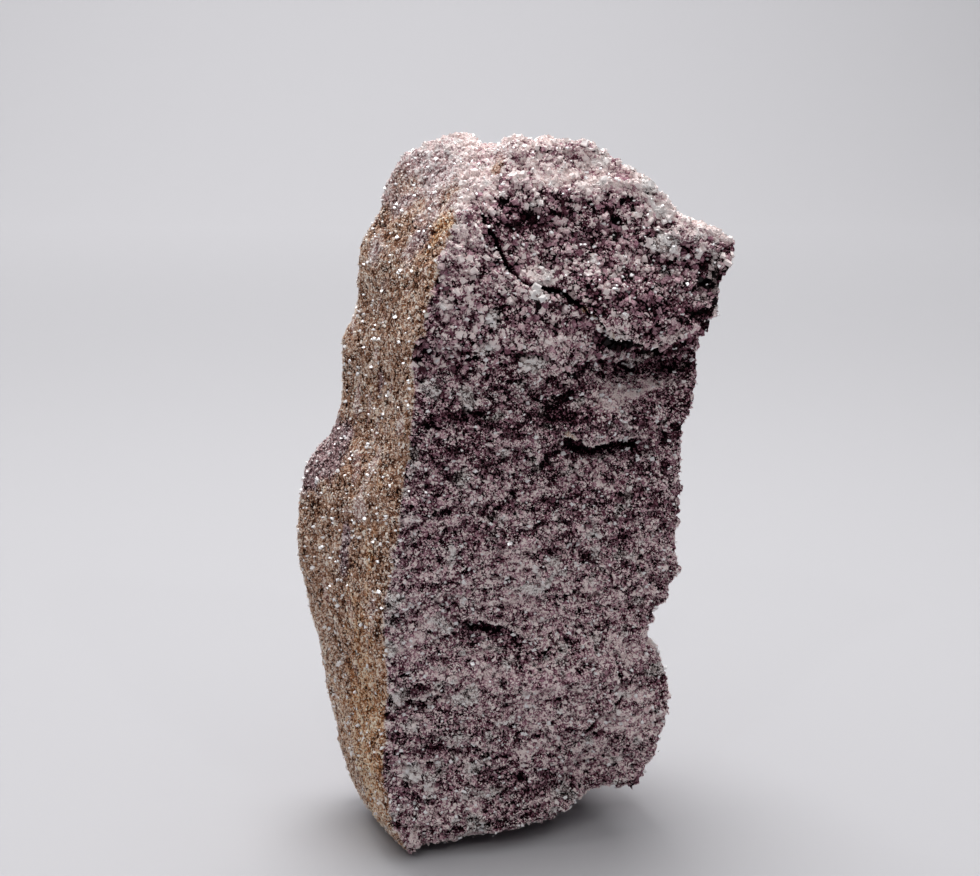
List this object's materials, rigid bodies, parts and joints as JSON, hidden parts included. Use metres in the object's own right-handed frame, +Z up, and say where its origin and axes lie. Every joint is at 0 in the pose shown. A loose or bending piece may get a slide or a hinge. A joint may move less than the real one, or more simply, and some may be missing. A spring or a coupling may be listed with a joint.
{
  "type": "raw lepidolite specimen",
  "caption": "Raw lepidolite: an upright block of fine, scaly purple mica rock with a flat, tan weathered side, an undercut ledge near the top and a small flat to stand on.",
  "frame": {"origin": "The middle of the bounding box, on the flat that the block stands on.", "axes": "+Z is up along the block's length, -Y is the broken purple face that the picture shows, and -X is the flat tan weathered side."},
  "size_m": [0.089, 0.0446, 0.15],
  "materials": {
    "lepidolite_rock": "rough broken rock of fine mica scales, sparkling, with a dull tan weathered skin on one side"
  },
  "bodies": {
    "root": {"lepidolite_block": "lepidolite_rock"}
  },
  "joints": []
}
